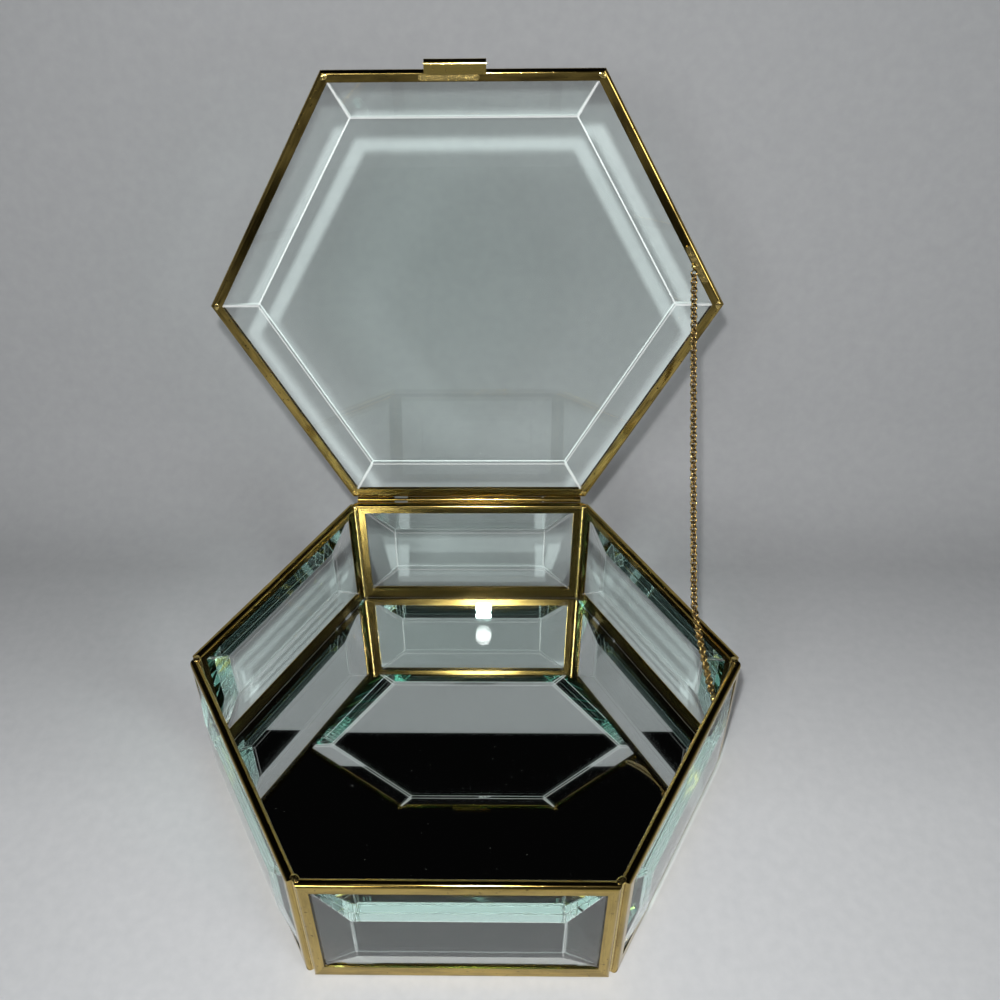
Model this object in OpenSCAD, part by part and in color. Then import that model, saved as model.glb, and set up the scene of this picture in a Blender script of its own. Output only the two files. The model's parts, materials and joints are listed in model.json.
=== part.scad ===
// Hexagonal glass keepsake casket: bevelled panes framed in brass channel, a mirror floor,
// a glass lid on a tube hinge, a rolled thumb tab and a fine guard chain.
// Millimetres, +Z up, +X to the right, +Y to the back. The origin is the middle of the
// underside. The lid stands open, as the casket is shown.

/* [Box] */
// Distance from the middle of the box to a corner of its outline
corner_r = 75; // [65:1:95]
// Height of the walls, from the table to the top of the rim
wall_h = 42.5; // [35:0.5:80]

/* [Brass channel] */
// Thickness of the channel across its two flanges
came_w = 2.5; // [2.3:0.1:3.2]
// How far the flanges reach from the back of the channel
came_depth = 3; // [2.8:0.1:4]
// Thickness of a flange
came_t = 0.45; // [0.35:0.05:0.55]
// Thickness of the channel's back
came_back = 0.9; // [0.7:0.1:1.3]
// Width of the flat strip that is left along the channel's rounded back
came_flat = 0.3; // [0.1:0.05:1]
// Height of the taller channel at the foot of each wall
sill_depth = 4.8; // [4.4:0.1:7]

/* [Glass] */
// How much thicker a pane is in the middle than where it enters the channel
bevel_rise = 2.1; // [0.5:0.1:3]
// Width of the bevel, from the edge of the pane
bevel_w = 11; // [6:0.5:13]

/* [Mirror floor] */
// Thickness of the mirror glass
mirror_t = 1.6; // [1.2:0.1:2.4]
// Thickness of the painted backing under the mirror
backing_t = 0.2; // [0.1:0.05:0.5]

/* [Lid] */
// Distance from the middle of the lid to a corner of its outline
lid_r = 74.3; // [64.4:0.1:94.4]
// Gap between the rim and the lid when it is shut
lid_gap = 0.5; // [0.45:0.05:0.9]
// Angle through which the lid stands open
lid_open = 100; // [60:1:110]

/* [Hinge] */
// Outer diameter of the hinge tubes
knuckle_d = 1.9; // [1.7:0.1:2.4]
// Diameter of the hinge pin
pin_d = 0.9; // [0.7:0.1:1.1]
// Distance from each back corner of the lid to the end of the hinge
hinge_inset = 1.65; // [0.5:0.05:6]
// Length of each short tube on the lid
lid_knuckle_len = 11.8; // [6:0.2:18]
// Length of bare pin to the left of the long tube on the rim
bare_pin = 4.1; // [0.5:0.1:10]

/* [Thumb tab] */
// Length of the rolled tab on the front of the lid
tab_len = 16.2; // [10:0.2:24]
// Outer diameter of its rolled lip
tab_d = 2.5; // [2.2:0.1:3.2]
// Thickness of its sheet
tab_t = 0.25; // [0.15:0.05:0.3]
// How far its strap reaches under the rail
tab_reach = 1.2; // [0.8:0.1:1.4]
// How far the tab sits to the left of the middle
tab_shift = 2; // [0:0.5:6]

/* [Guard chain] */
// Outer diameter of a link
link_d = 2.2; // [1.8:0.1:2.4]
// Thickness of a link's wire
link_wire = 0.4; // [0.3:0.02:0.44]
// Distance from the right corner to the chain's anchor on the lid
lid_anchor = 15; // [13:0.2:20]
// Distance from the right corner to the chain's anchor on the rim
rim_anchor = 14.7; // [11:0.1:18]
// Distance from the right corner to where the chain crosses the right back rim
rim_crossing = 19.4; // [18:0.2:26]
// Diameter of the solder bead that holds each end of the chain
bead_d = 1.6; // [1.2:0.1:1.7]
// How far the hanging stretch sags below a straight line
chain_sag = 3; // [1:0.5:6]
// How far the stretch inside the box dips
chain_dip = 0.5; // [0.5:0.5:4]

/* [Hidden] */
$fn = 48;
WALLS = ["front", "right_front", "right_back", "back", "left_back", "left_front"];
WALL_PARTS = ["glass", "rim", "sill", "post_left", "post_right"];

brass = [0.74, 0.58, 0.28];
solder = [0.84, 0.72, 0.42];
pane_tint = [0.8, 0.88, 0.85, 0.4];
silver = [0.55, 0.57, 0.58];
grey_paint = [0.42, 0.43, 0.44];

// Clearances
fit_gap = 0.1;
seat_gap = 0.05;
seam_gap = 0.3;
pin_gap = 0.05;
tube_gap = 0.3;
link_gap = 0.03;
over = 1;

// Radius of the channel's rounded back edges
came_round = (came_w - came_flat) / 2;

// The hexagon and its six panels
apothem = corner_r * cos(30);
set_back = (came_round + seam_gap / 2 + (came_w - came_round) * sin(30)) / cos(30) - came_round;
panel_w = corner_r - 2 * set_back;
sill_back = sill_depth - came_depth + came_back;
floor_top = backing_t + mirror_t;

// Panes: inner face, thickness where they enter the channel, thickness in the middle
pane_z = came_t + fit_gap;
pane_lip = came_depth - came_back - fit_gap;
pane_lip_t = came_w - 2 * pane_z;
pane_t = pane_lip_t + bevel_rise;
bevel_angle = atan(bevel_rise / (bevel_w - pane_lip));
pane_edge_t = pane_t - bevel_w * tan(bevel_angle);

// The lid, drawn shut, with its back rail flush with the back wall
lid_apothem = lid_r * cos(30);
lid_y = apothem - lid_apothem;
lid_z = wall_h + lid_gap;
lid_front = lid_y - lid_apothem;

// The hinge axis, where the tubes nest between the rounded edges of rim and lid
knuckle_r = knuckle_d / 2;
nest = came_round + knuckle_r + seat_gap;
hinge_out = sqrt(pow(nest, 2) - pow(came_round + lid_gap / 2, 2)) - came_round;
hinge_y = apothem + hinge_out;
hinge_z = wall_h + lid_gap / 2;
hinge_len = lid_r - 2 * hinge_inset;
rim_knuckle_len = hinge_len - 2 * lid_knuckle_len - bare_pin - tube_gap;
rim_knuckle_x = lid_knuckle_len + bare_pin - hinge_len / 2;
knuckle_solder = 1;
knuckle_solder_end = 0.8;

// The seam of solder in each corner: where the posts meet, its middle, its radius
seam_x = -(came_w - came_round) * cos(30) - (set_back + came_round) * cos(60);
seam_mid = seam_x - 0.2;
seam_r = 1;

// Solder on the tab and at the chain's ends
tab_solder_len = 5.6;
tab_solder_r = 0.9;
tab_pad_len = 16;
tab_pad_shift = 1.6;
chain_pad_len = 12.5;
pad_w = 1.6;
pad_t = 0.2;
bead_sink = 0.3;

// Placing
function turn_z(p, a) = [p.x * cos(a) - p.y * sin(a), p.x * sin(a) + p.y * cos(a), p.z];
function swing(p) = [
    p.x,
    hinge_y + (p.y - hinge_y) * cos(lid_open) + (p.z - hinge_z) * sin(lid_open),
    hinge_z - (p.y - hinge_y) * sin(lid_open) + (p.z - hinge_z) * cos(lid_open)];

// Stands a flat panel up as wall k: x along the wall, y up, z outwards from its inner face
module on_wall(k) {
    rotate([0, 0, 60 * k])
        translate([-panel_w / 2, came_w - apothem, 0])
            rotate([90, 0, 0])
                children();
}

// Lays a rail along side k of the lid, z upwards from the lid's underside
module on_lid_side(k) {
    translate([0, lid_y, lid_z])
        rotate([0, 0, 60 * k])
            translate([-lid_r / 2, -lid_apothem, 0])
                children();
}

// Swings what is drawn shut to the open lid
module opened() {
    translate([0, hinge_y, hinge_z])
        rotate([-lid_open, 0, 0])
            translate([0, -hinge_y, -hinge_z])
                children();
}

// Draws a section in y and z and runs it along x
module along_x(x, len) {
    translate([x, 0, 0])
        rotate([90, 0, 90])
            linear_extrude(len)
                children();
}

// Brass channel
module came_outline(depth) {
    translate([came_round, 0])
        square([depth - came_round, came_w]);
    translate([0, came_round])
        square([depth, came_w - 2 * came_round]);
    for (z = [came_round, came_w - came_round])
        translate([came_round, z])
            circle(came_round);
}

module came_profile(depth, back) {
    difference() {
        came_outline(depth);
        translate([back, came_t])
            square([depth, came_w - 2 * came_t]);
    }
}

// A length of channel, its back at y = 0, each end cut to a mitre
module mitred_came(len, depth, back, mitre_start, mitre_end) {
    intersection() {
        along_x(0, len)
            came_profile(depth, back);
        translate([0, 0, -over])
            linear_extrude(came_w + 2 * over)
                polygon([[0, 0], [len, 0], [len - mitre_end, depth], [mitre_start, depth]]);
    }
}

module wall_sill(k) {
    color(brass)
        on_wall(k)
            mitred_came(panel_w, sill_depth, sill_back, came_depth, came_depth);
}

module wall_rim(k) {
    color(brass)
        on_wall(k)
            translate([panel_w, wall_h, 0])
                rotate([0, 0, 180])
                    mitred_came(panel_w, came_depth, came_back, came_depth, came_depth);
}

module wall_post_left(k) {
    color(brass)
        on_wall(k)
            translate([0, wall_h, 0])
                rotate([0, 0, -90])
                    mitred_came(wall_h, came_depth, came_back, came_depth, sill_depth);
}

module wall_post_right(k) {
    color(brass)
        on_wall(k)
            translate([panel_w, 0, 0])
                rotate([0, 0, 90])
                    mitred_came(wall_h, came_depth, came_back, sill_depth, came_depth);
}

// Solder in the corner between wall k and the next, run down the line where the rounded
// backs of two posts meet. Below the mirror only its outer half is left.
module post_outlines() {
    rotate(120)
        translate([set_back, 0])
            came_outline(came_depth);
    rotate(240)
        translate([set_back, -came_w])
            came_outline(came_depth);
}

module seam_bead() {
    translate([0, 0, floor_top + seat_gap])
        cylinder(h = wall_h - seam_r - floor_top - seat_gap, r = seam_r);
    translate([0, 0, wall_h - seam_r])
        sphere(seam_r);
}

module seam_foot() {
    intersection() {
        translate([0, 0, came_round])
            cylinder(h = floor_top + over, r = seam_r);
        translate([seam_x - seam_mid, -seam_r, 0])
            cube([2 * seam_r, 2 * seam_r, wall_h]);
    }
}

module wall_seam(k) {
    color(solder)
        rotate([0, 0, 300 + 60 * k])
            difference() {
                translate([corner_r + seam_mid, 0, 0]) {
                    seam_bead();
                    seam_foot();
                }
                translate([corner_r, 0, -over])
                    linear_extrude(wall_h + 2 * over)
                        post_outlines();
            }
}

// Panes
// Cuts the bevel along an edge that lies on y = 0, with the pane on its +y side
module bevel_cut(len) {
    translate([-over, bevel_w, pane_z + pane_t])
        rotate([bevel_angle, 0, 0])
            translate([0, -bevel_w - 2 * over, 0])
                cube([len + 2 * over, bevel_w + 2 * over, bevel_rise + pane_lip_t + over]);
}

module wall_glass(k) {
    edge = came_back + fit_gap;
    w = panel_w - 2 * edge;
    h = wall_h - edge - sill_back - fit_gap;
    color(pane_tint)
        on_wall(k)
            translate([edge, sill_back + fit_gap, 0])
                difference() {
                    translate([0, 0, pane_z])
                        cube([w, h, pane_t]);
                    bevel_cut(w);
                    translate([w, h, 0])
                        rotate([0, 0, 180])
                            bevel_cut(w);
                    translate([w, 0, 0])
                        rotate([0, 0, 90])
                            bevel_cut(h);
                    translate([0, h, 0])
                        rotate([0, 0, -90])
                            bevel_cut(h);
                }
}

module lid_glass() {
    pane_apothem = lid_apothem - came_back - fit_gap;
    pane_r = pane_apothem / cos(30);
    color(pane_tint)
        opened()
            translate([0, lid_y, lid_z + pane_z]) {
                cylinder(h = pane_edge_t, r = pane_r, $fn = 6);
                translate([0, 0, pane_edge_t])
                    cylinder(
                        h = pane_t - pane_edge_t,
                        r1 = pane_r,
                        r2 = (pane_apothem - bevel_w) / cos(30),
                        $fn = 6);
            }
}

module floor_outline() {
    circle((apothem - came_w - fit_gap) / cos(30), $fn = 6);
}

module mirror_backing() {
    color(grey_paint)
        linear_extrude(backing_t)
            floor_outline();
}

module mirror_floor() {
    color(silver)
        translate([0, 0, backing_t])
            linear_extrude(mirror_t)
                floor_outline();
}

// Lid frame
module lid_rail(k) {
    mitre = came_depth * tan(30);
    color(brass)
        opened()
            on_lid_side(k)
                mitred_came(lid_r, came_depth, came_back, mitre, mitre);
}

// Hinge
module knuckle(x, len) {
    translate([x, hinge_y, hinge_z])
        rotate([0, 90, 0])
            difference() {
                cylinder(h = len, r = knuckle_r);
                translate([0, 0, -over])
                    cylinder(h = len + 2 * over, r = pin_d / 2 + pin_gap);
            }
}

// Fillet of solder between a tube and the face of the channel below it
module knuckle_solder_section() {
    difference() {
        polygon([
            [apothem - came_round, wall_h - came_round],
            [apothem - came_round, wall_h - came_round - knuckle_solder],
            [apothem, wall_h - came_round - knuckle_solder],
            [hinge_y + knuckle_r * cos(30), hinge_z - knuckle_r * sin(30)],
            [hinge_y, hinge_z]]);
        translate([hinge_y, hinge_z])
            circle(knuckle_r);
        translate([apothem - came_w, wall_h])
            rotate(-90)
                came_outline(came_depth + knuckle_solder);
    }
}

module rim_knuckle() {
    color(brass)
        knuckle(rim_knuckle_x, rim_knuckle_len);
}

module rim_hinge_solder() {
    color(solder)
        along_x(rim_knuckle_x + knuckle_solder_end, rim_knuckle_len - 2 * knuckle_solder_end)
            knuckle_solder_section();
}

module lid_knuckle(side) {
    color(brass)
        opened()
            knuckle(side * (hinge_len - lid_knuckle_len) / 2 - lid_knuckle_len / 2, lid_knuckle_len);
}

module lid_hinge_solder(side) {
    len = lid_knuckle_len - 2 * knuckle_solder_end;
    color(solder)
        opened()
            translate([0, 0, 2 * hinge_z])
                mirror([0, 0, 1])
                    along_x(side * (hinge_len - lid_knuckle_len) / 2 - len / 2, len)
                        knuckle_solder_section();
}

module lid_knuckle_left() {
    lid_knuckle(-1);
}

module lid_knuckle_right() {
    lid_knuckle(1);
}

module lid_hinge_solder_left() {
    lid_hinge_solder(-1);
}

module lid_hinge_solder_right() {
    lid_hinge_solder(1);
}

module hinge_pin() {
    color(brass)
        translate([-hinge_len / 2, hinge_y, hinge_z])
            rotate([0, 90, 0])
                cylinder(h = hinge_len, r = pin_d / 2);
}

// Thumb tab
// The strap lies under the front rail, runs out past it and rolls up into a lip
tab_r = tab_d / 2;
tab_y = lid_front - seat_gap - tab_r;
tab_z = lid_z - seat_gap - tab_t + tab_r;

module thumb_tab() {
    color(brass)
        opened()
            along_x(-tab_shift - tab_len / 2, tab_len) {
                difference() {
                    translate([tab_y, tab_z])
                        circle(tab_r);
                    translate([tab_y, tab_z])
                        circle(tab_r - tab_t);
                    translate([tab_y, tab_z - tab_r / 2])
                        square([tab_d, tab_r + tab_r / 2 - tab_t]);
                }
                translate([tab_y, tab_z - tab_r])
                    square([lid_front + tab_reach - tab_y, tab_t]);
            }
}

module thumb_tab_solder() {
    color(solder)
        opened()
            along_x(-tab_shift - tab_solder_len / 2, tab_solder_len)
                difference() {
                    translate([lid_front, tab_z + tab_r])
                        circle(tab_solder_r);
                    translate([tab_y, tab_z])
                        circle(tab_r);
                    translate([lid_front, lid_z])
                        came_outline(came_depth);
                }
}

// A flat smear of solder with round ends, on the underside of a rail
module pad(len) {
    translate([0, came_depth - bead_sink - pad_w / 2, -pad_t])
        linear_extrude(pad_t) {
            square([len - pad_w, pad_w], center = true);
            for (end = [-1, 1])
                translate([end * (len - pad_w) / 2, 0])
                    circle(pad_w / 2);
        }
}

// The smear along the tab's strap stays clear of the strap
module thumb_tab_pad() {
    strap_len = tab_len + 2 * seat_gap;
    color(solder)
        opened()
            on_lid_side(0)
                translate([lid_r / 2 - tab_shift, 0, 0])
                    difference() {
                        translate([-tab_pad_shift, 0, 0])
                            pad(tab_pad_len);
                        translate([-strap_len / 2, -over, -over])
                            cube([strap_len, tab_reach + seat_gap + over, 2 * over]);
                    }
}

// Guard chain
// Each end is held by a bead: on the underside of the right front rail of the lid, and on
// the inner face of the right front rim
bead_r = bead_d / 2;
lid_bead_shut = [0, lid_y, lid_z - bead_sink]
    + turn_z([lid_r / 2 - lid_anchor, came_depth - bead_sink - lid_apothem, 0], 60);
lid_bead = swing(lid_bead_shut);
rim_bead_inset = bead_sink;
rim_bead_z = wall_h - came_round - bead_r;
rim_bead = turn_z([corner_r / 2 - rim_anchor, came_w - apothem + rim_bead_inset, rim_bead_z], 60);

// Where the chain lies over the right back rim
link_r = link_d / 2;
ride_z = wall_h + link_r + fit_gap;
crossing = turn_z([rim_crossing - corner_r / 2, came_w / 2 - apothem, ride_z], 120);
saddle_in = [0, 3.6, 2.6];
saddle_top = [0, 1, -0.2];
saddle_out = [0, -2.6, -0.3];
over_in = crossing + saddle_in;
over_mid = crossing + saddle_top;
over_out = crossing + saddle_out;

function bend(a, b, c, t) = a * pow(1 - t, 2) + b * 2 * t * (1 - t) + c * pow(t, 2);
hang_mid = (lid_bead + over_in) / 2 - [0, 0, chain_sag];
dip_mid = (over_out + rim_bead) / 2 - [0, 0, 2 * chain_dip];
STEPS = 40;
route = concat(
    [for (i = [0:STEPS - 1]) bend(lid_bead, hang_mid, over_in, i / STEPS)],
    [for (i = [0:STEPS - 1]) bend(over_in, over_mid, over_out, i / STEPS)],
    [for (i = [0:STEPS]) bend(over_out, dip_mid, rim_bead, i / STEPS)]);
travelled = [for (i = 0, s = 0; i < len(route);
    s = s + (i + 1 < len(route) ? norm(route[i + 1] - route[i]) : 0), i = i + 1) [s, i]];
end_gap = bead_r + link_r + seat_gap;
first = end_gap;
last = travelled[len(route) - 1][0] - end_gap;
link_pitch = link_d - 2 * link_wire - link_gap;
links = ceil((last - first) / link_pitch);

function at(s) = let (f = lookup(s, travelled), i = min(floor(f), len(route) - 2))
    route[i] + (route[i + 1] - route[i]) * (f - i);
function unit(v) = v / norm(v);

// A round link whose plane holds the chain's direction, turned half right or half left
module chain_link(k) {
    s = first + (last - first) * k / links;
    dir = unit(at(s + link_r / 2) - at(s - link_r / 2));
    side = unit(cross(dir, [0, 0, 1]));
    up = cross(side, dir);
    axis = unit(side + (k % 2 == 0 ? up : -up));
    translate(at(s))
        rotate([0, acos(axis.z), atan2(axis.y, axis.x)])
            rotate_extrude($fn = 24)
                translate([link_r - link_wire / 2, 0])
                    circle(link_wire / 2, $fn = 16);
}

module guard_chain() {
    color(brass)
        for (k = [0:links])
            chain_link(k);
}

module lid_chain_solder() {
    color(solder)
        opened()
            on_lid_side(1)
                translate([lid_r - lid_anchor, 0, 0]) {
                    difference() {
                        translate([0, came_depth - bead_sink, -bead_sink])
                            sphere(bead_r);
                        translate([-bead_d, came_depth - bead_d, 0])
                            cube([2 * bead_d, 2 * bead_d, bead_d]);
                    }
                    pad(chain_pad_len);
                }
}

module rim_chain_solder() {
    color(solder)
        on_wall(1)
            translate([panel_w + set_back - rim_anchor, rim_bead_z, 0])
                difference() {
                    translate([0, 0, -rim_bead_inset])
                        sphere(bead_r);
                    translate([-bead_d, -bead_d, 0])
                        cube([2 * bead_d, 2 * bead_d, bead_d]);
                }
}

// Nodes
for (k = [0:5]) {
    wall_glass(k);
    wall_rim(k);
    wall_sill(k);
    wall_post_left(k);
    wall_post_right(k);
    wall_seam(k);
    lid_rail(k);
}
mirror_floor();
mirror_backing();
lid_glass();
rim_knuckle();
lid_knuckle_left();
lid_knuckle_right();
hinge_pin();
rim_hinge_solder();
lid_hinge_solder_left();
lid_hinge_solder_right();
thumb_tab();
thumb_tab_solder();
thumb_tab_pad();
guard_chain();
lid_chain_solder();
rim_chain_solder();
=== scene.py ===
# %% [markdown]
# # A hexagonal glass casket
# The casket has six bevelled panes in brass channel, a mirror floor and a bevelled glass lid
# that stands open on a tube hinge, held by a fine guard chain. The frame, the panes and the
# hinge come ready made from the CAD model. This lesson gives them their finishes, and makes
# what CAD doesn't carry: the silvering under the mirror, the loose links of the chain and the
# dabs of solder on the corners. Lengths are in metres, in the frame of the CAD model.

import json
import math

import bmesh
import bpy
import numpy as np
from mathutils import Matrix, Vector, noise


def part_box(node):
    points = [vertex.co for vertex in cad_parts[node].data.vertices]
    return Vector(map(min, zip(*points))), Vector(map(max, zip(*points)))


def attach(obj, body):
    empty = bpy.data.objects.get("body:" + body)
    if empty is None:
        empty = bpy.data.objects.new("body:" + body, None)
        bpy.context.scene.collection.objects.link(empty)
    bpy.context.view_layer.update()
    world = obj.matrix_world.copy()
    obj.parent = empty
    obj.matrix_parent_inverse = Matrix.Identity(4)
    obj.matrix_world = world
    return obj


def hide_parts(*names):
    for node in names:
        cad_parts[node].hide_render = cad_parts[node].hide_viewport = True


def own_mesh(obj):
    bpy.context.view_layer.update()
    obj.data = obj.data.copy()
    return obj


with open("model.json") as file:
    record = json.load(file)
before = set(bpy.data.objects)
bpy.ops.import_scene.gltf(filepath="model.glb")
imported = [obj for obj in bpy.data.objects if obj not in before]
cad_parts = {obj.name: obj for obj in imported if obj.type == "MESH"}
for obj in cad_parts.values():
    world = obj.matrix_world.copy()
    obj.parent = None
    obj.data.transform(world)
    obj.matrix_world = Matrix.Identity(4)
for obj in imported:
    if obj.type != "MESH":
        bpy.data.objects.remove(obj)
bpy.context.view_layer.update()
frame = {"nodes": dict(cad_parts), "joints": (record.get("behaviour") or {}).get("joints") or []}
nodes = frame["nodes"]

# %% [markdown]
# ## Sizes from the drawing
# The casket was drawn in millimetres, and the chain's way, the dabs and the bevels are placed
# here from the same sizes. A corner's reach is measured from the middle of the hexagon. From
# the middle to a flat side is less, by the cosine of 30 degrees.

# %% Note the sizes in millimetres
MM = 0.001
WALLS = ["front", "right_front", "right_back", "back", "left_back", "left_front"]
CORNER_R, LID_R = 75.0, 74.3
WALL_H, LID_Z = 42.5, 43
CHANNEL_W, CHANNEL_DEPTH, CHANNEL_ROUND = 2.5, 3.0, 1.1
BEVEL_W = 11
LINK_D, LINK_WIRE = 2.2, 0.4
BEAD_R, BEAD_SINK = 0.8, 0.3
LID_OPEN = 100
HALF_ACROSS = math.cos(math.radians(30))
APOTHEM, LID_APOTHEM = CORNER_R * HALF_ACROSS, LID_R * HALF_ACROSS
hinge = Vector(frame["joints"][0]["pos_m"])
print("flat sides", round(APOTHEM, 1), "mm out, hinge", [round(v / MM, 1) for v in hinge])

# %% [markdown]
# ## The camera
# The casket is seen from above and in front, from about 30 centimetres. The camera's place,
# turn and focal length were found by matching the corners of the real box to the same
# corners of the model, which is surer than turning the camera by eye. The small shift puts
# the middle of the lens where the picture has it.
# The helper here puts any new thing into the scene, and is used for all that follows.


# %% Camera
def put(name, data):
    piece = bpy.data.objects.new(name, data)
    bpy.context.scene.collection.objects.link(piece)
    return piece


camera = put("camera", bpy.data.cameras.new("camera"))
bpy.context.scene.camera = camera
camera.location = (0.0084643, -0.1814331, 0.2563677)
camera.rotation_euler = (0.8913819, 0.0119195, 0.0139038)
camera.data.sensor_width = 36
camera.data.lens = 36 * 1.0224285
camera.data.shift_x = 0.0231353
camera.data.shift_y = -0.0350477
camera.data.clip_start = 0.01
print("lens", round(camera.data.lens, 2), "mm")

# %% [markdown]
# ## Floor and backdrop
# The casket stands on a pale sheet that rises close behind the open lid. How close decides
# how far the lid's shadow falls to the side, and the mirror floor shows the sheet up to its
# top edge, with the dark room above. One strip does for both: a line in the y-z plane, swept
# sideways. From behind, the sheet lets the view through. A plain floor lies a hair below it,
# and catches the view where the sheet has left the ground. Both are made by a helper that
# turns points and faces into a mesh.

# %% Sweep the sheet and lay the floor
SHEET_HALF = 1.6
SHEET_FRONT = -1.6
BEND_START = 0.078
BEND_RADIUS = 0.045
BEND_STEPS = 16
RISE_ANGLE = math.radians(78)
RISE = 0.17
FLOOR_HALF = 3
FLOOR_Z = -0.0004


def make_mesh(name, points, faces, smooth=False):
    mesh = bpy.data.meshes.new(name)
    mesh.from_pydata(points, [], faces)
    mesh.polygons.foreach_set("use_smooth", [smooth] * len(faces))
    return mesh


sheet_line = [(SHEET_FRONT, 0.0), (BEND_START, 0.0)]
for step in range(1, BEND_STEPS + 1):
    turn = RISE_ANGLE * step / BEND_STEPS
    bend_y = BEND_START + BEND_RADIUS * math.sin(turn)
    sheet_line.append((bend_y, BEND_RADIUS * (1 - math.cos(turn))))
last_y, last_z = sheet_line[-1]
sheet_line.append((last_y + RISE * math.cos(RISE_ANGLE), last_z + RISE * math.sin(RISE_ANGLE)))
points = [(x, y, z) for y, z in sheet_line for x in (-SHEET_HALF, SHEET_HALF)]
strips = [(2 * i, 2 * i + 1, 2 * i + 3, 2 * i + 2) for i in range(len(sheet_line) - 1)]
sheet = put("sheet", make_mesh("sheet", points, strips, smooth=True))

square = [(-1, -1), (1, -1), (1, 1), (-1, 1)]
floor_points = [(FLOOR_HALF * x, FLOOR_HALF * y, FLOOR_Z) for x, y in square]
floor = put("floor", make_mesh("floor", floor_points, [(0, 1, 2, 3)]))
print("sheet rises to", round(sheet_line[-1][1], 3), "m")

# %% [markdown]
# ## Helpers for materials
# A material here is one Principled shader with a few nodes before it. The first helpers start
# a material or a group of nodes, add one node, and feed a value or another node's output into
# a socket. Colours are linear, with a fourth number for opacity.


# %% Start a material, a node, a group
def start_material(name):
    material = bpy.data.materials.new(name)
    material.use_nodes = True
    tree = material.node_tree
    return material, tree, tree.nodes["Principled BSDF"], tree.nodes["Material Output"]


def feed(tree, value, socket):
    if isinstance(value, bpy.types.NodeSocket):
        tree.links.new(value, socket)
    else:
        socket.default_value = value


def add(tree, kind, settings=None, **inputs):
    node = tree.nodes.new(kind)
    for key, value in (settings or {}).items():
        setattr(node, key, value)
    for key, value in inputs.items():
        feed(tree, value, node.inputs[key.replace("_", " ")])
    return node


def start_group(name, inputs, outputs):
    tree = bpy.data.node_groups.new(name, "ShaderNodeTree")
    kinds = {"f": "NodeSocketFloat", "c": "NodeSocketColor", "v": "NodeSocketVector"}
    for label, kind in inputs:
        tree.interface.new_socket(label, in_out="INPUT", socket_type=kinds[kind])
    for label, kind in outputs:
        tree.interface.new_socket(label, in_out="OUTPUT", socket_type=kinds[kind])
    entry = tree.nodes.new("NodeGroupInput")
    leave = tree.nodes.new("NodeGroupOutput")
    return tree, entry.outputs, leave.inputs


def use_group(tree, group, **inputs):
    return add(tree, "ShaderNodeGroup", {"node_tree": group}, **inputs)


print("helpers 5")

# %% [markdown]
# ## Helpers for patterns
# These make the nodes that come up again and again: a sum, a noise, a range stretched to
# another range, a blend of two colours, a ramp between two tones, and a blend of two surfaces.


# %% Sums, noises, ranges and blends
def maths(tree, operation, *values, clamp=False):
    node = add(tree, "ShaderNodeMath", {"operation": operation, "use_clamp": clamp})
    for socket, value in zip(node.inputs, values):
        feed(tree, value, socket)
    return node.outputs[0]


def object_place(tree):
    return add(tree, "ShaderNodeTexCoord").outputs["Object"]


def noise_value(tree, place, scale, detail, roughness=0.5):
    look = {"Scale": scale, "Detail": detail, "Roughness": roughness}
    return add(tree, "ShaderNodeTexNoise", Vector=place, **look).outputs["Fac"]


def stretch(tree, value, low, high, least=0.0, most=1.0):
    ends = {"From_Min": low, "From_Max": high, "To_Min": least, "To_Max": most}
    return add(tree, "ShaderNodeMapRange", Value=value, **ends).outputs[0]


def blend_colours(tree, share, first, second):
    node = add(tree, "ShaderNodeMix", {"data_type": "RGBA"})
    for index, value in ((0, share), (6, first), (7, second)):
        feed(tree, value, node.inputs[index])
    return node.outputs[2]


def two_tones(tree, value, places, tones):
    node = add(tree, "ShaderNodeValToRGB", Fac=value)
    for stop, place, tone in zip(node.color_ramp.elements, places, tones):
        stop.position = place
        stop.color = tone
    return node.outputs[0]


def blend_surfaces(tree, share, first, second):
    node = tree.nodes.new("ShaderNodeMixShader")
    for socket, value in zip(node.inputs, (share, first, second)):
        feed(tree, value, socket)
    return node.outputs[0]


print("helpers 7")

# %% [markdown]
# ## Wear on brass
# Old lacquered brass isn't one colour. It has darker, browner patches a few millimetres
# across, fine drawn lines along the channel from the rolling mill, and small dark spots.
# A photograph of brass would repeat and wouldn't follow the mitres, so noise makes all three.
# The group takes a place whose x runs along the piece, so that patches and lines are drawn
# out along each channel, and puts out a colour, a roughness and a height for the bump.

# %% Group for worn brass
PATCH_STRETCH, LINE_STRETCH = (0.18, 1.0, 1.0), (0.03, 1.0, 1.0)
PATCH_SCALE, LINE_SCALE, SPOT_SCALE = 420.0, 2600.0, 1300.0
LINE_SHADE = 0.3
TARNISH_ROUGHNESS = 0.14

worn_brass, given, made = start_group(
    "worn_brass",
    [("Place", "v"), ("Bright", "c"), ("Dark", "c"), ("Tarnish", "f"), ("Polish", "f")],
    [("Color", "c"), ("Roughness", "f"), ("Height", "f")],
)
patch_place = add(worn_brass, "ShaderNodeMapping", Vector=given["Place"], Scale=PATCH_STRETCH)
line_place = add(worn_brass, "ShaderNodeMapping", Vector=given["Place"], Scale=LINE_STRETCH)
patches = noise_value(worn_brass, patch_place.outputs[0], PATCH_SCALE, 5.0, 0.62)
lines = noise_value(worn_brass, line_place.outputs[0], LINE_SCALE, 3.0, 0.65)
spots = noise_value(worn_brass, given["Place"], SPOT_SCALE, 2.0)
patch_mask = stretch(worn_brass, patches, 0.4, 0.75)
line_mask = stretch(worn_brass, lines, 0.3, 0.7, most=LINE_SHADE)
spot_mask = stretch(worn_brass, spots, 0.66, 0.72)
dull = maths(worn_brass, "MULTIPLY", patch_mask, given["Tarnish"])
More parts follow.
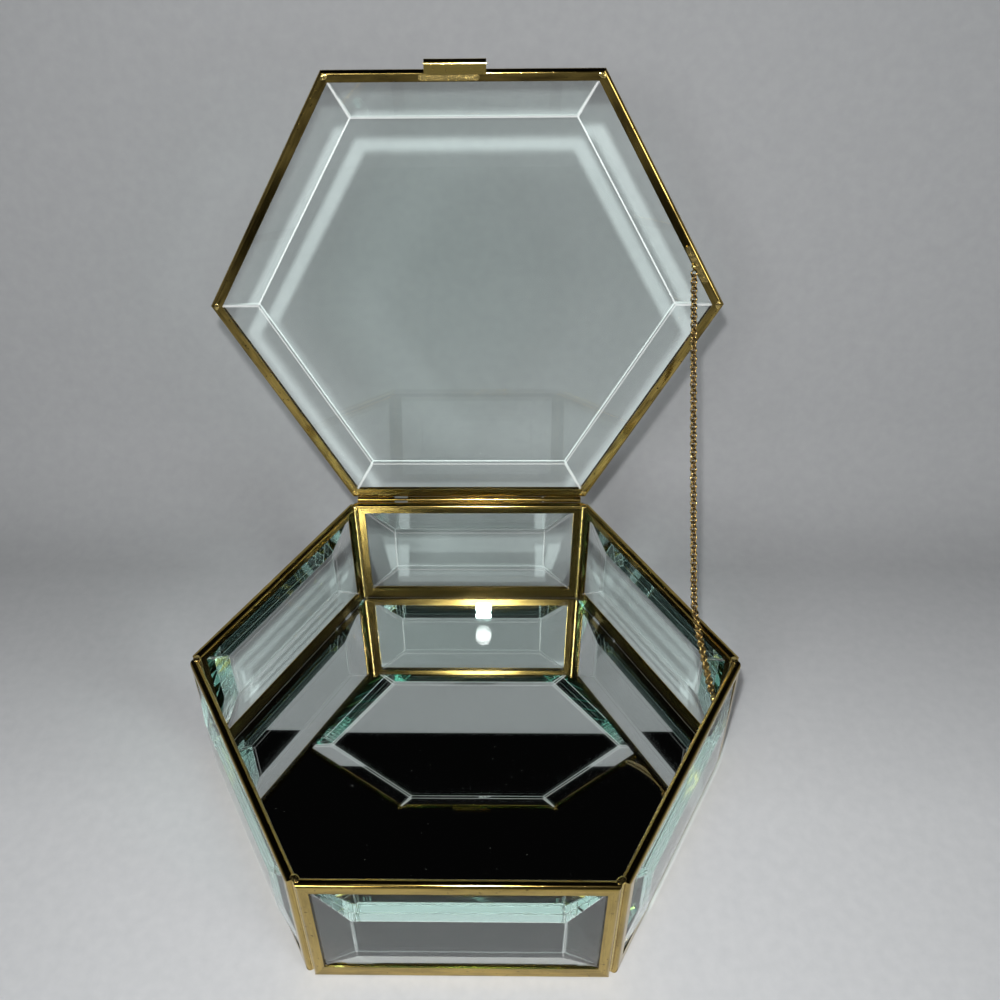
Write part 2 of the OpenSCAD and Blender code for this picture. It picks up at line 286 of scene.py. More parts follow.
lined = maths(worn_brass, "ADD", dull, line_mask, clamp=True)
worn = maths(worn_brass, "MAXIMUM", lined, spot_mask)
worn_colour = blend_colours(worn_brass, worn, given["Bright"], given["Dark"])
worn_roughness = maths(worn_brass, "MULTIPLY_ADD", worn, TARNISH_ROUGHNESS, given["Polish"])
feed(worn_brass, worn_colour, made["Color"])
feed(worn_brass, worn_roughness, made["Roughness"])
feed(worn_brass, maths(worn_brass, "SUBTRACT", lines, spot_mask), made["Height"])
print("group", worn_brass.name, "nodes", len(worn_brass.nodes))

# %% [markdown]
# ## Brass finishes
# Each channel gets the same brass with its own grain direction. A channel on wall k lies 60 k
# degrees round the casket, so turning the place back by that angle lays its grain along x.
# The posts stand upright, and the lid is also tipped back by 100 degrees. The lid's channel
# # is darker, almost brown: partly its tarnish, partly painted shade for the dark room that its
# # faces show, while the rubbed tab and the tubes have kept more gold.

# %% Brass for channels, posts and tubes
OLD_GOLD = (0.58, 0.42, 0.12, 1)
RUBBED_GOLD = (0.76, 0.58, 0.17, 1)
CHAIN_GOLD = (0.5, 0.35, 0.13, 1)
OLIVE_BROWN = (0.12, 0.08, 0.022, 1)
# The deep brown darkens only the lid's channel: partly tarnish, partly painted shade.
DEEP_BROWN_TARNISH_AND_SHADE = (0.06, 0.042, 0.014, 1)
GRAIN_DEPTH, GRAIN_STRENGTH = 0.00002, 0.35


def brass(name, turn, tarnish_and_shade=0.6, polish=0.08, bright=OLD_GOLD, dark=OLIVE_BROWN):
    material, tree, shader, _ = start_material(name)
    back = tuple(math.radians(a) for a in turn)
    along = add(tree, "ShaderNodeMapping", Vector=object_place(tree), Rotation=back)
    tones = {"Bright": bright, "Dark": dark, "Tarnish": tarnish_and_shade, "Polish": polish}
    wear = use_group(tree, worn_brass, Place=along.outputs[0], **tones).outputs
    relief = {"Height": wear["Height"], "Distance": GRAIN_DEPTH, "Strength": GRAIN_STRENGTH}
    bump = add(tree, "ShaderNodeBump", **relief)
    feed(tree, wear["Color"], shader.inputs["Base Color"])
    feed(tree, wear["Roughness"], shader.inputs["Roughness"])
    feed(tree, bump.outputs[0], shader.inputs["Normal"])
    shader.inputs["Metallic"].default_value = 1
    return material


wall_brass = [brass(f"wall_brass_{60 * k}", (0, 0, -60 * k)) for k in range(3)]
# The lid's channel gets heavier tarnish and a deeper brown: partly tarnish, partly painted shade
# for the dark room it faces.
lid_brass_tarnish_and_shade = [
    brass(f"lid_brass_tarnish_and_shade_{60 * k}", (LID_OPEN, 0, -60 * k), 0.9, 0.05, dark=DEEP_BROWN_TARNISH_AND_SHADE)
    for k in range(3)
]
post_brass = brass("post_brass", (0, 90, 0), tarnish_and_shade=0.5)
tube_brass = brass("tube_brass", (0, 0, 0), tarnish_and_shade=0.3)
tab_brass = brass("tab_brass", (0, 0, 0), tarnish_and_shade=0.2, polish=0.1, bright=RUBBED_GOLD)
chain_brass = brass("chain_brass", (0, 0, 0), tarnish_and_shade=0.5, polish=0.16, bright=CHAIN_GOLD)
print("brass finishes", len(wall_brass) + len(lid_brass_tarnish_and_shade) + 4)

# %% [markdown]
# ## Lumps and pits
# Solder freezes as it flows, and sprayed paint dries in drops, so both have low lumps and
# small pits. A slow noise makes the lumps and a fast one the pits. The fast noise also goes
# out as a mask, for the tone of the skin.

# %% Group for lumpy skins
PIT_SCALE, PIT_DEPTH = 4200.0, 0.35

lumpy, given, made = start_group(
    "lumpy", [("Place", "v"), ("Size", "f")], [("Height", "f"), ("Mask", "f")]
)
lumps = noise_value(lumpy, given["Place"], given["Size"], 2.0)
pits = noise_value(lumpy, given["Place"], PIT_SCALE, 2.0)
pit_mask = stretch(lumpy, pits, 0.6, 0.75, most=PIT_DEPTH)
feed(lumpy, maths(lumpy, "SUBTRACT", lumps, pit_mask), made["Height"])
feed(lumpy, pits, made["Mask"])
print("group", lumpy.name, "nodes", len(lumpy.nodes))

# %% [markdown]
# ## Solder
# The frame is joined with soft solder that was coloured like the brass. It is a little paler
# and brighter than the channel, and duller in its pits.

# %% Solder
SOLDER_TONES = [(0.74, 0.58, 0.22, 1), (0.42, 0.30, 0.09, 1)]

solder, tree, shader, _ = start_material("solder")
skin = use_group(tree, lumpy, Place=object_place(tree), Size=420.0).outputs
solder_tone = two_tones(tree, skin["Mask"], (0.35, 0.75), SOLDER_TONES)
solder_bump = add(tree, "ShaderNodeBump", Height=skin["Height"], Distance=0.00025, Strength=0.45)
feed(tree, solder_tone, shader.inputs["Base Color"])
feed(tree, stretch(tree, skin["Mask"], 0.3, 0.8, 0.1, 0.3), shader.inputs["Roughness"])
feed(tree, solder_bump.outputs[0], shader.inputs["Normal"])
shader.inputs["Metallic"].default_value = 1
print("solder nodes", len(tree.nodes))

# %% [markdown]
# ## Marks on glass
# Finger marks make broad, soft changes in the gloss of the glass, and dust makes specks.
# Specks could be scattered as tiny pieces, but they only have to be seen. So a cell pattern
# gives each its place, and only the very middle of a cell counts as dust.

# %% Group for finger marks and dust
marks, given, made = start_group(
    "marks", [("Place", "v"), ("Smear", "f"), ("Dust", "f")], [("Roughness", "f"), ("Specks", "f")]
)
smears = noise_value(marks, given["Place"], 38.0, 5.0, 0.7)
smear_rough = maths(marks, "MULTIPLY", stretch(marks, smears, 0.55, 0.8), given["Smear"])
speck_cells = add(marks, "ShaderNodeTexVoronoi", Vector=given["Place"], Scale=420.0)
specks = maths(marks, "LESS_THAN", speck_cells.outputs["Distance"], given["Dust"])
feed(marks, smear_rough, made["Roughness"])
feed(marks, specks, made["Specks"])
print("group", marks.name, "nodes", len(marks.nodes))

# %% [markdown]
# ## Where a pane is bevelled
# Two things depend on the distance from a pane's edge. A bevel bends a lamp's light inward,
# which leaves shade beside the channel and a pale strip just inside the arris, the line where
# the bevel meets the flat. Tracing that bent light would need thousands of samples for a
# clean strip, so the amount of light that passes follows a pattern instead. And the arris and
# the mitres were ground, so they show as fine pale lines. These could be thin extra pieces,
# but a blend in the material keeps the pane whole. A mitre runs where two sides are equally
# far away.

# %% Light through a bevel, and its ground lines
PLAIN_LEVEL, SHADE_DROP, STRIP_GAIN = 0.95, 0.5, 0.75
SHADE_REACH, STRIP_REACH, STEP_SOFTNESS = 5.7 * MM, 14.7 * MM, 0.3 * MM
GLASS_TINT = (0.97, 1.0, 0.99)
ARRIS_HALF = 0.2 * MM


def passed_light(tree, inward):
    level = PLAIN_LEVEL
    steps = [
        (SHADE_REACH, -SHADE_DROP, 0.0),
        (BEVEL_W * MM, 0.0, STRIP_GAIN),
        (STRIP_REACH, 0.0, -STRIP_GAIN),
    ]
    for reach, before, after in steps:
        step = stretch(tree, inward, reach - STEP_SOFTNESS, reach, before, after)
        level = maths(tree, "ADD", step, level)
    tinted = add(tree, "ShaderNodeVectorMath", {"operation": "SCALE"})
    feed(tree, GLASS_TINT, tinted.inputs[0])
    feed(tree, level, tinted.inputs["Scale"])
    return tinted.outputs[0]


def ground_lines(tree, inward, first, second):
    arris = maths(tree, "COMPARE", inward, BEVEL_W * MM, ARRIS_HALF)
    mitre = maths(tree, "COMPARE", first, second, 1.5 * ARRIS_HALF)
    in_bevel = maths(tree, "LESS_THAN", inward, BEVEL_W * MM)
    return maths(tree, "MAXIMUM", arris, maths(tree, "MULTIPLY", mitre, in_bevel))


print("pale strip from", BEVEL_W, "to", round(STRIP_REACH / MM, 1), "mm")

# %% [markdown]
# ## Measuring a wall pane
# The pattern needs the distance inward from the pane's nearest side, and two distances that
# are equal along a mitre. A painted mask on unwrapped faces would give them, but a few sums
# on the place are exact at any size. A pane is turned to the front first, where its ends lie
# in x and its long sides in z.


# %% Distances on a wall pane
def measure_wall(turn):
    low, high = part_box("front_glass")

    def measure(tree):
        back = {"Vector": object_place(tree), "Angle": math.radians(-turn)}
        along = add(tree, "ShaderNodeVectorRotate", {"rotation_type": "Z_AXIS"}, **back)
        split = add(tree, "ShaderNodeSeparateXYZ", Vector=along.outputs[0]).outputs
        from_end = maths(tree, "SUBTRACT", high.x, maths(tree, "ABSOLUTE", split["X"]))
        from_foot = maths(tree, "SUBTRACT", split["Z"], low.z)
        from_top = maths(tree, "SUBTRACT", high.z, split["Z"])
        from_long_side = maths(tree, "MINIMUM", from_foot, from_top)
        inward = maths(tree, "MINIMUM", from_end, from_long_side)
        return inward, from_end, from_long_side

    return measure


# %% [markdown]
# ## Measuring the lid pane
# The lid is swung shut in thought, and is then measured along the three directions that run
# straight across a hexagon. The greatest of the three distances from the middle belongs to
# the nearest side, and along a mitre the two greatest are equal.


# %% Distances on the lid pane
def turn_z(point, degrees):
    return Matrix.Rotation(math.radians(degrees), 3, "Z") @ Vector(point)


def measure_lid(tree):
    from_hinge = add(tree, "ShaderNodeVectorMath", {"operation": "SUBTRACT"})
    feed(tree, object_place(tree), from_hinge.inputs[0])
    feed(tree, hinge, from_hinge.inputs[1])
    forward = {"Vector": from_hinge.outputs[0], "Angle": math.radians(LID_OPEN)}
    shut = add(tree, "ShaderNodeVectorRotate", {"rotation_type": "X_AXIS"}, **forward)
    middle = Vector((0, APOTHEM - LID_APOTHEM, LID_Z)) * MM - hinge
    farthest, nearest, total = 0.0, 1.0, 0.0
    for k in range(3):
        facing = turn_z((0, -1, 0), 60 * k)
        across = add(tree, "ShaderNodeVectorMath", {"operation": "DOT_PRODUCT"})
        feed(tree, shut.outputs[0], across.inputs[0])
        feed(tree, facing, across.inputs[1])
        centred = maths(tree, "SUBTRACT", across.outputs["Value"], middle.dot(facing))
        off_middle = maths(tree, "ABSOLUTE", centred)
        farthest = maths(tree, "MAXIMUM", off_middle, farthest)
        nearest = maths(tree, "MINIMUM", off_middle, nearest)
        total = maths(tree, "ADD", off_middle, total)
    pane_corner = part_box("lid_glass")[1].x
    inward = maths(tree, "SUBTRACT", pane_corner * HALF_ACROSS, farthest)
    second = maths(tree, "SUBTRACT", maths(tree, "SUBTRACT", total, farthest), nearest)
    return inward, farthest, second


# %% [markdown]
# ## Glass
# The panes are clear float glass with a faint green body, which only shows where a ray runs
# a long way inside, at the bevels and edges. The colour is therefore an absorption in the
# volume, and not a tint on the surface. Lamps shine straight through in this material, with
# the pattern of the bevels in their light, so the inside is lit as it should be. The lid
# stands open towards the lamps, so its ground lines show the most.

# %% Glass for the panes and the mirror
WHITE, GROUND_WHITE = (1, 1, 1, 1), (0.96, 0.98, 0.97, 1)
PLAIN_PASSED = (0.93, 0.96, 0.95, 1)
PANE_BODY, PANE_DENSITY = (0.55, 0.93, 0.84, 1), 28.0
MIRROR_BODY, MIRROR_DENSITY = (0.6, 0.92, 0.85, 1), 16.0
GLASS_IOR = 1.52


def clear_glass(name, smear, body_colour, body_density, measure=None, line_share=0.22):
    material, tree, shader, output = start_material(name)
    touched = use_group(tree, marks, Place=object_place(tree), Smear=smear, Dust=0.0)
    feed(tree, touched.outputs["Roughness"], shader.inputs["Roughness"])
    shader.inputs["Base Color"].default_value = WHITE
    shader.inputs["Transmission Weight"].default_value = 1
    shader.inputs["IOR"].default_value = GLASS_IOR
    surface = shader.outputs[0]
    passed = add(tree, "ShaderNodeBsdfTransparent", Color=PLAIN_PASSED)
    if measure:
        inward, first, second = measure(tree)
        feed(tree, passed_light(tree, inward), passed.inputs["Color"])
        share = maths(tree, "MULTIPLY", ground_lines(tree, inward, first, second), line_share)
        ground = add(tree, "ShaderNodeBsdfDiffuse", Color=GROUND_WHITE)
        surface = blend_surfaces(tree, share, surface, ground.outputs[0])
    to_lamp = add(tree, "ShaderNodeLightPath").outputs["Is Shadow Ray"]
    seen = blend_surfaces(tree, to_lamp, surface, passed.outputs[0])
    body = add(tree, "ShaderNodeVolumeAbsorption", Color=body_colour, Density=body_density)
    feed(tree, seen, output.inputs["Surface"])
    feed(tree, body.outputs[0], output.inputs["Volume"])
    return material


wall_panes = [
    clear_glass(f"pane_glass_{60 * k}", 0.03, PANE_BODY, PANE_DENSITY, measure_wall(60 * k))
    for k in range(3)
]
lid_pane_glass = clear_glass(
    "lid_pane_glass", 0.04, PANE_BODY, PANE_DENSITY, measure_lid, line_share=0.45
)
mirror_glass = clear_glass("mirror_glass", 0.015, MIRROR_BODY, MIRROR_DENSITY)
print("glass finishes", len(wall_panes) + 2)

# %% [markdown]
# ## Silvering
# The floor is a mirror: clear glass, a film of silver under it and grey paint over the film.
# The glass comes from CAD. The silver and paint are one thin plate, hung a hair below the
# glass, with a bright metal top and a grey underside. Dust on it shows as pale specks.

# %% Silver and backing paint
SILVER, DUST = (0.86, 0.88, 0.87, 1), (0.95, 0.94, 0.9, 1)
DUST_ROUGHNESS = 0.7
PAINT_TONES = [(0.105, 0.11, 0.115, 1), (0.16, 0.165, 0.17, 1)]

silver, tree, shader, _ = start_material("silver")
dusty = use_group(tree, marks, Place=object_place(tree), Smear=0.03, Dust=0.022).outputs
speck_rough = maths(tree, "MULTIPLY", dusty["Specks"], DUST_ROUGHNESS)
film_rough = maths(tree, "MAXIMUM", dusty["Roughness"], speck_rough)
film_tone = blend_colours(tree, dusty["Specks"], SILVER, DUST)
feed(tree, film_tone, shader.inputs["Base Color"])
feed(tree, film_rough, shader.inputs["Roughness"])
shader.inputs["Metallic"].default_value = 1

backing_paint, tree, shader, _ = start_material("backing_paint")
sprayed = use_group(tree, lumpy, Place=object_place(tree), Size=260.0).outputs
paint_tone = two_tones(tree, sprayed["Height"], (0.3, 0.7), PAINT_TONES)
paint_bump = add(tree, "ShaderNodeBump", Height=sprayed["Height"], Distance=0.0001, Strength=0.5)
feed(tree, paint_tone, shader.inputs["Base Color"])
feed(tree, paint_bump.outputs[0], shader.inputs["Normal"])
shader.inputs["Roughness"].default_value = 0.62
print("mirror finishes 2")

# %% [markdown]
# ## Dress the CAD model
# Every CAD node keeps its shape here and takes one finish. The names say what each piece is,
# so a short rule picks the finish from the name. Opposite walls lie in the same direction and
# share their brass and their glass, so a wall's number counts up to three and starts again.

# %% Give each node its finish
direction = {wall: k % 3 for k, wall in enumerate(WALLS)}


def finish_for(name):
    if name.startswith("lid_rail_"):
        return lid_brass_tarnish_and_shade[direction[name.removeprefix("lid_rail_")]]
    if name == "lid_glass":
        return lid_pane_glass
    if name == "mirror_floor":
        return mirror_glass
    if name.endswith("_glass"):
        return wall_panes[direction[name.removesuffix("_glass")]]
    if name.endswith(("_rim", "_sill")):
        return wall_brass[direction[name.rsplit("_", 1)[0]]]
    if "_post_" in name:
        return post_brass
    if "solder" in name or name.endswith(("_seam", "_pad")):
        return solder
    if name == "thumb_tab":
        return tab_brass
    if name == "mirror_backing":
        return backing_paint
    if name == "guard_chain":
        return chain_brass
    return tube_brass


for name, piece in nodes.items():
    piece.data.materials.clear()
    piece.data.materials.append(finish_for(name))
print("dressed", len(nodes))

# %% [markdown]
# ## The silvered plate
# The plate repeats the outline of the CAD backing, a hexagon that fits inside the walls. Four
# outlines, one above the other, give it slightly broken edges. The paint wraps round the edge
# of the film, as it does where a mirror is sprayed, so the top face alone is silver.

# %% Make the plate
BROKEN_EDGE = 0.00006
GLASS_GAP = 0.00001
low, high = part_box("mirror_backing")
plate_r = high.x
plate_top = high.z - GLASS_GAP


def hexagon(radius, z):
    turns = [math.radians(60 * i) for i in range(6)]
    return [(radius * math.cos(a), radius * math.sin(a), z) for a in turns]


outlines = (
    hexagon(plate_r - BROKEN_EDGE, low.z)
    + hexagon(plate_r, low.z + BROKEN_EDGE)
    + hexagon(plate_r, plate_top - BROKEN_EDGE)
    + hexagon(plate_r - BROKEN_EDGE, plate_top)
)
around = [
    (6 * ring + i, 6 * ring + (i + 1) % 6, 6 * ring + 6 + (i + 1) % 6, 6 * ring + 6 + i)
    for ring in range(3)
    for i in range(6)
]
underside, top = (5, 4, 3, 2, 1, 0), (18, 19, 20, 21, 22, 23)
plate_mesh = make_mesh("mirror_silvering", outlines, [underside] + around + [top])
plate_mesh.materials.append(backing_paint)
plate_mesh.materials.append(silver)
plate_mesh.polygons[len(plate_mesh.polygons) - 1].material_index = 1
silvering = put("mirror_silvering", plate_mesh)
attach(silvering, "base")
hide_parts("mirror_backing")
print("plate", round(2 * plate_r / MM, 1), "mm across the corners")

# %% [markdown]
# ## The two ends of the chain
# The chain starts at a bead of solder under the lid's right front rail and ends at a bead
# inside the right front rim. Both are set out along their channel from its middle, with the
# wall turned to the front, and then turned to their place. The lid's bead is set out with the
# lid shut and swung open about the hinge.

# %% Set out the beads, in millimetres
LID_ANCHOR, RIM_ANCHOR, RIM_CROSSING = 15, 14.7, 19.4
OVER_RIM = 0.1
hinge_mm = hinge / MM
lid_middle = Vector((0, APOTHEM - LID_APOTHEM, LID_Z))


def swing(point):
    turned = Matrix.Rotation(math.radians(-LID_OPEN), 3, "X")
    return hinge_mm + turned @ (Vector(point) - hinge_mm)


lid_bead_out = (LID_R / 2 - LID_ANCHOR, CHANNEL_DEPTH - BEAD_SINK - LID_APOTHEM, -BEAD_SINK)
lid_bead_shut = lid_middle + turn_z(lid_bead_out, 60)
lid_bead = swing(lid_bead_shut)
rim_bead_z = WALL_H - CHANNEL_ROUND - BEAD_R
rim_bead = turn_z((CORNER_R / 2 - RIM_ANCHOR, CHANNEL_W - APOTHEM + BEAD_SINK, rim_bead_z), 60)
crossing_z = WALL_H + LINK_D / 2 + OVER_RIM
crossing = turn_z((RIM_CROSSING - CORNER_R / 2, CHANNEL_W / 2 - APOTHEM, crossing_z), 120)
print("lid bead", [round(v, 1) for v in lid_bead], "rim bead", [round(v, 1) for v in rim_bead])

# %% [markdown]
# ## The way of the chain
# From the lid the chain slopes down to the right back rim, bends over it and drops to its
# bead inside. The way is three soft bends from end to end, the same ones as in the CAD model,
# walked in small steps. The first sags a little under the chain's own weight.

# %% Walk along the chain
SAG, DIP = Vector((0, 0, 3)), Vector((0, 0, 1))
BEND_WALK = 40
over_in = crossing + Vector((0, 3.6, 2.6))
over_mid = crossing + Vector((0, 1, -0.2))
over_out = crossing + Vector((0, -2.6, -0.3))


def bend(a, b, c):
    shares = [i / BEND_WALK for i in range(BEND_WALK)]
    return [a * (1 - t) ** 2 + b * 2 * t * (1 - t) + c * t**2 for t in shares]


def lengths_along(way):
    steps = [(b - a).length for a, b in zip(way, way[1:])]
    return np.concatenate([[0.0], np.cumsum(steps)])


def point_at(way, marks_along, distance):
    i = int(np.clip(np.searchsorted(marks_along, distance) - 1, 0, len(way) - 2))
    share = (distance - marks_along[i]) / (marks_along[i + 1] - marks_along[i])
    return way[i].lerp(way[i + 1], share)


open_way = (
    bend(lid_bead, (lid_bead + over_in) / 2 - SAG, over_in)
    + bend(over_in, over_mid, over_out)
    + bend(over_out, (over_out + rim_bead) / 2 - DIP, rim_bead)
    + [rim_bead]
)
open_marks = lengths_along(open_way)
print("chain", round(float(open_marks[-1]), 1), "mm")

# %% [markdown]
# ## Where the chain lies with the lid shut
# The two beads meet when the lid comes down, and the chain drops inside: down from the lid,
# in a loop over the mirror, and up again to its bead on the rim. A smooth curve runs through
# a few corners. The loop's reach is found by halving, so that this way is as long as the open
# one and no link is stretched.

# %% The folded way
CURVE_STEPS = 24
LOOP_X, LOOP_WAIST = 44, 0.6
SHORTEST, LONGEST, HALVINGS = 1.0, 60.0, 30
ABOVE_MIRROR = 0.15
rest_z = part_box("mirror_floor")[1].z / MM + LINK_D / 2 + ABOVE_MIRROR
WAY_DOWN = [(62.2, -9.6, 33), (59.5, -6.5, 14), (54, -2.5, rest_z + 1.2), (LOOP_X, 1.5, rest_z)]
WAY_UP = [(46, -13.5, rest_z), (56, -13, rest_z + 1.5), (60.5, -12.4, 15), (62.6, -12.2, 32)]


def between(p0, p1, p2, p3, t):
    bow = (2 * p0 - 5 * p1 + 4 * p2 - p3) * t**2
    twist = (3 * p1 - p0 - 3 * p2 + p3) * t**3
    return 0.5 * (2 * p1 + (p2 - p0) * t + bow + twist)


def smooth_way(corners):
    ends = [corners[0] * 2 - corners[1], *corners, corners[-1] * 2 - corners[-2]]
    way = []
    for four in zip(ends, ends[1:], ends[2:], ends[3:]):
        way += [between(*four, i / CURVE_STEPS) for i in range(CURVE_STEPS)]
    return way + [corners[-1]]


def folded_way(reach):
    near, far = LOOP_X - reach * LOOP_WAIST, LOOP_X - reach
    loop = [(near, 1.0, rest_z), (far, -5.5, rest_z), (near, -12.0, rest_z)]
    corners = [Vector(corner) for corner in WAY_DOWN + loop + WAY_UP]
    return smooth_way([lid_bead_shut, *corners, rim_bead])


short, long = SHORTEST, LONGEST
for _ in range(HALVINGS):
    reach = (short + long) / 2
    if lengths_along(folded_way(reach))[-1] > open_marks[-1]:
        long = reach
    else:
        short = reach
shut_way = folded_way(reach)

# %% [markdown]
# ## One ring of wire
# A fine trace chain is a row of round wire rings. A small circle, the wire, goes round a
# larger one. The wire is drawn a little fuller than in CAD, where the rings must stay apart.


# %% Make a ring
def ring_mesh(name, around=20, wire_sides=8, fuller=0.14):
    middle, wire = (LINK_D - LINK_WIRE) / 2 * MM, (LINK_WIRE + fuller) / 2 * MM
    points = []
    for i in range(around):
        a = 2 * math.pi * i / around
        for j in range(wire_sides):
            b = 2 * math.pi * j / wire_sides
            far = middle + wire * math.cos(b)
            points.append((far * math.cos(a), far * math.sin(a), wire * math.sin(b)))
    faces = [
        (
            i * wire_sides + j,
            (i + 1) % around * wire_sides + j,
            (i + 1) % around * wire_sides + (j + 1) % wire_sides,
            i * wire_sides + (j + 1) % wire_sides,
        )
        for i in range(around)
        for j in range(wire_sides)
    ]
    mesh = make_mesh(name, points, faces, smooth=True)
    mesh.materials.append(chain_brass)
    return mesh


print("ring", LINK_D, "mm across")

# %% [markdown]
# ## The links
# One ring is laid at each step of the way, a quarter turn from the last. A ring can't bend, so
# # each is its own piece.

# %% Lay the rings
PITCH = 1.2
BEAD_CLEARANCE = 0.05
end_gap = BEAD_R + LINK_D / 2 + BEAD_CLEARANCE
first, last = end_gap, float(open_marks[-1]) - end_gap
link_count = math.ceil((last - first) / PITCH)
for k in range(link_count + 1):
    s = first + (last - first) * k / link_count
    here = point_at(open_way, open_marks, s)
    along = point_at(open_way, open_marks, s + 1) - point_at(open_way, open_marks, s - 1)
    along.normalize()
    side = along.cross(Vector((0, 0, 1))).normalized()
    upward = side.cross(along)
    across = (side + (upward if k % 2 == 0 else -upward)).normalized()
    name = f"chain_link_{k + 1:03d}"
    mesh = ring_mesh(name)
    facing = across.to_track_quat("Z", "Y").to_matrix().to_4x4()
    mesh.transform(Matrix.Translation(here * MM) @ facing)
    link = put(name, mesh)
    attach(link, "base")
    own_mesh(link)
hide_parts("guard_chain")

# %% [markdown]
# ## Dabs of solder on the corners
# Where two channels meet, a drop of solder froze over the joint. Each is a small irregular
# cushion, lower than the gap that the lid leaves when it is shut. A ball pushed in and out
# by noise gives each one its own outline, and squeezing it makes it lie flat on the metal.

# %% Make the dabs
RIM_DAB, RIM_DAB_REACH = (1.1, 1.4, 0.24), 72.6
LID_DAB, LID_DAB_REACH = (0.8, 1.3, 0.2), 72.4
DAB_DEPTH = 0.05
BALL_SIZE, WOBBLE = 0.86, 0.14


def dab(name, middle, half, turn, seed, body):
    ball = bmesh.new()
    bmesh.ops.create_icosphere(ball, subdivisions=3, radius=1.0)
    for vert in ball.verts:
        wobble = noise.noise(vert.co * 1.3 + Vector((seed * 7.3, seed * 3.1, 0)))
        vert.co *= BALL_SIZE + WOBBLE * wobble
        vert.co.x *= half[0]
        vert.co.y *= half[1]
        vert.co.z *= half[2]
    mesh = bpy.data.meshes.new(name)
    ball.to_mesh(mesh)
    ball.free()
    mesh.polygons.foreach_set("use_smooth", [True] * len(mesh.polygons))
    mesh.transform(turn.to_4x4())
    mesh.transform(Matrix.Translation(middle))
    mesh.transform(Matrix.Scale(MM, 4))
    mesh.materials.append(solder)
    piece = put(name, mesh)
    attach(piece, body)


for k, wall in enumerate(WALLS):
    angle = 300 + 60 * k
    turn = Matrix.Rotation(math.radians(angle), 3, "Z")
    place = turn_z((RIM_DAB_REACH, 0, WALL_H - DAB_DEPTH), angle)
    dab(f"rim_dab_{wall}", place, RIM_DAB, turn, k + 1, "base")
    lid_turn = Matrix.Rotation(math.radians(-LID_OPEN), 3, "X") @ turn
    under = swing(lid_middle + turn_z((LID_DAB_REACH, 0, DAB_DEPTH), angle))
    dab(f"lid_dab_{wall}", under, LID_DAB, lid_turn, k + 11, "lid")
print("dabs", 2 * len(WALLS))

# %% [markdown]
# ## The cloth
# Sheet and floor share one pale matt cloth with a fine nap. Painted shade makes it a little
# # darker behind the casket, and also far in front, where only the mirror and the brass look.
# # Fewer lamps would darken it too, but would take the shine from the brass.

# %% Colour the sheet and the floor
NAP_TONES = [(0.56, 0.575, 0.59, 1), (0.66, 0.67, 0.68, 1)]
PAINTED_SHADE_TONE = (0.02, 0.02, 0.022, 1)

cloth, tree, shader, output = start_material("pale_cloth")
cloth_place = object_place(tree)
nap = noise_value(tree, cloth_place, 300.0, 4.0)
cloth_y = add(tree, "ShaderNodeSeparateXYZ", Vector=cloth_place).outputs["Y"]
# Painted shade: the cloth is darkened behind the casket and far in front, in place of less light
# there.
painted_shade_behind = stretch(tree, cloth_y, -0.02, 0.09, most=0.45)
painted_shade_far_front = stretch(tree, cloth_y, -1.3, -0.35, 0.5, 0.0)
painted_shade = maths(tree, "ADD", painted_shade_behind, painted_shade_far_front)
nap_tone = two_tones(tree, nap, (0, 1), NAP_TONES)
feed(tree, blend_colours(tree, painted_shade, nap_tone, PAINTED_SHADE_TONE), shader.inputs["Base Color"])
shader.inputs["Roughness"].default_value = 0.9
shader.inputs["Specular IOR Level"].default_value = 0.15
from_behind = add(tree, "ShaderNodeNewGeometry").outputs["Backfacing"]
unseen = add(tree, "ShaderNodeBsdfTransparent")
both_sides = blend_surfaces(tree, from_behind, shader.outputs[0], unseen.outputs[0])
feed(tree, both_sides, output.inputs["Surface"])
sheet.data.materials.append(cloth)
floor.data.materials.append(cloth)
print("cloth on", sheet.name, "and", floor.name)

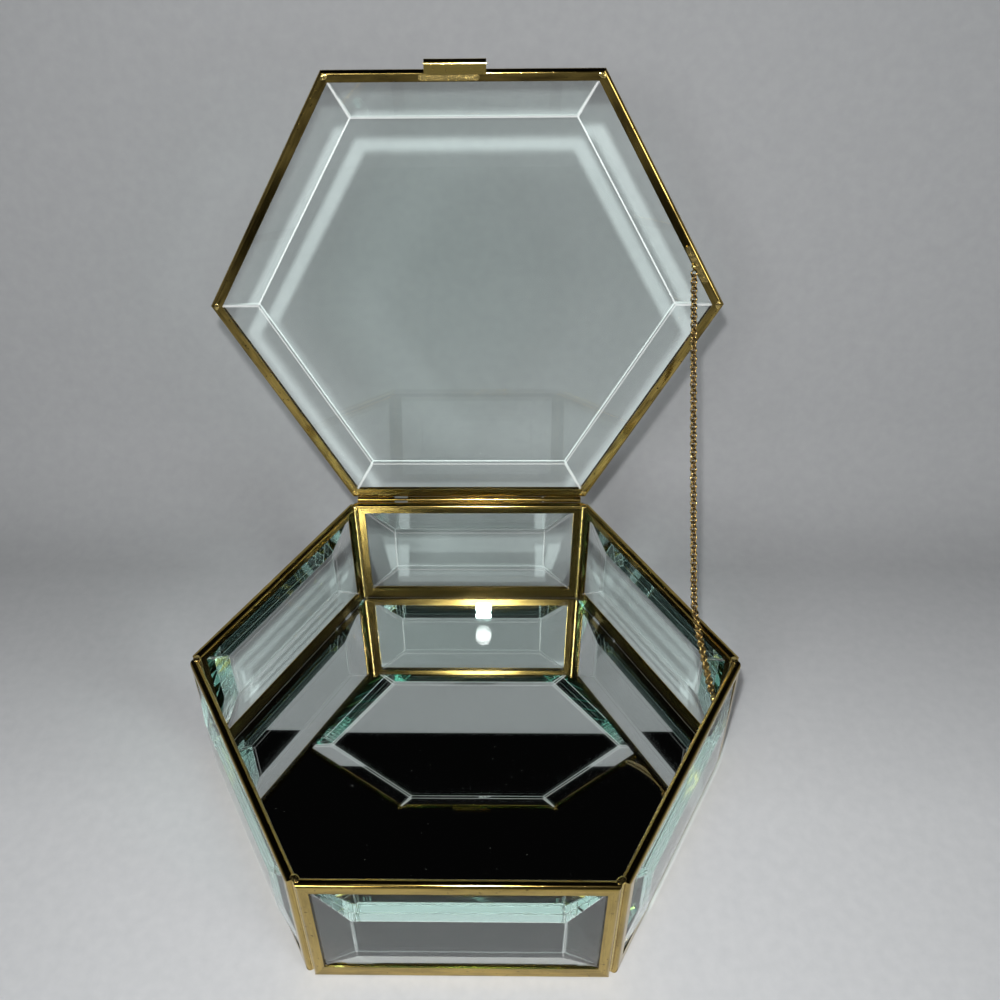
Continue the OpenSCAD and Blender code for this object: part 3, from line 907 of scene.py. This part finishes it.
# %% [markdown]
# ## Lamps
# Two soft boxes stand in front, one on each side. They are low enough that neither the mirror
# nor the panes show them to the camera, and their light carries the pattern of the bevels
# onto the sheet. A small lamp beside the camera gives the thin bright lines on the brass and
# the spark in the back pane.

# %% Hang the lamps
CASKET = (0, 0.02, 0.04)
BACK_PANE = (0, 0.06, 0.03)


def lamp(name, place, target, size, watts, spread=180):
    data = bpy.data.lights.new(name, "AREA")
    data.shape = "DISK"
    data.size = size
    data.energy = watts
    data.spread = math.radians(spread)
    piece = put(name, data)
    piece.location = place
    toward = Vector(target) - Vector(place)
    piece.rotation_euler = toward.to_track_quat("-Z", "Y").to_euler()


lamp("soft_box", (-0.33, -0.8, 0.58), CASKET, size=0.4, watts=1.1, spread=100)
lamp("right_box", (0.7, -0.6, 0.42), CASKET, size=0.5, watts=1.0, spread=100)
lamp("camera_lamp", (0.0, -0.17, 0.285), BACK_PANE, size=0.011, watts=0.65)
print("lamps", len(bpy.data.lights))

# %% [markdown]
# ## The room
# The room is dim, and darker the higher one looks, so that the mirror floor and the polished
# metal have something dark to show. A ray in a bevel can run a long way between the faces
# before it comes out, and turns mint green on its way. With few bounces it would end black,
# so many are allowed. Light that glass focuses is left out: the panes already let the lamps
# through, and it would count them twice.

# %% Darken the room and set how far light goes
LOW_ROOM = (0.16, 0.163, 0.166, 1)
HIGH_ROOM = (0.0015, 0.0015, 0.0015, 1)

world = bpy.data.worlds.new("dim_room")
bpy.context.scene.world = world
world.use_nodes = True
sky = world.node_tree
look = add(sky, "ShaderNodeTexCoord").outputs["Generated"]
upward = add(sky, "ShaderNodeSeparateXYZ", Vector=look).outputs["Z"]
sky_tone = two_tones(sky, upward, (0.12, 0.5), [LOW_ROOM, HIGH_ROOM])
feed(sky, sky_tone, sky.nodes["Background"].inputs["Color"])
bpy.context.scene.view_settings.view_transform = "Standard"

cycles = bpy.context.scene.cycles
cycles.max_bounces = 32
cycles.glossy_bounces = 24
cycles.transmission_bounces = 24
cycles.transparent_max_bounces = 16
cycles.caustics_refractive = False
print("bounces", cycles.max_bounces)
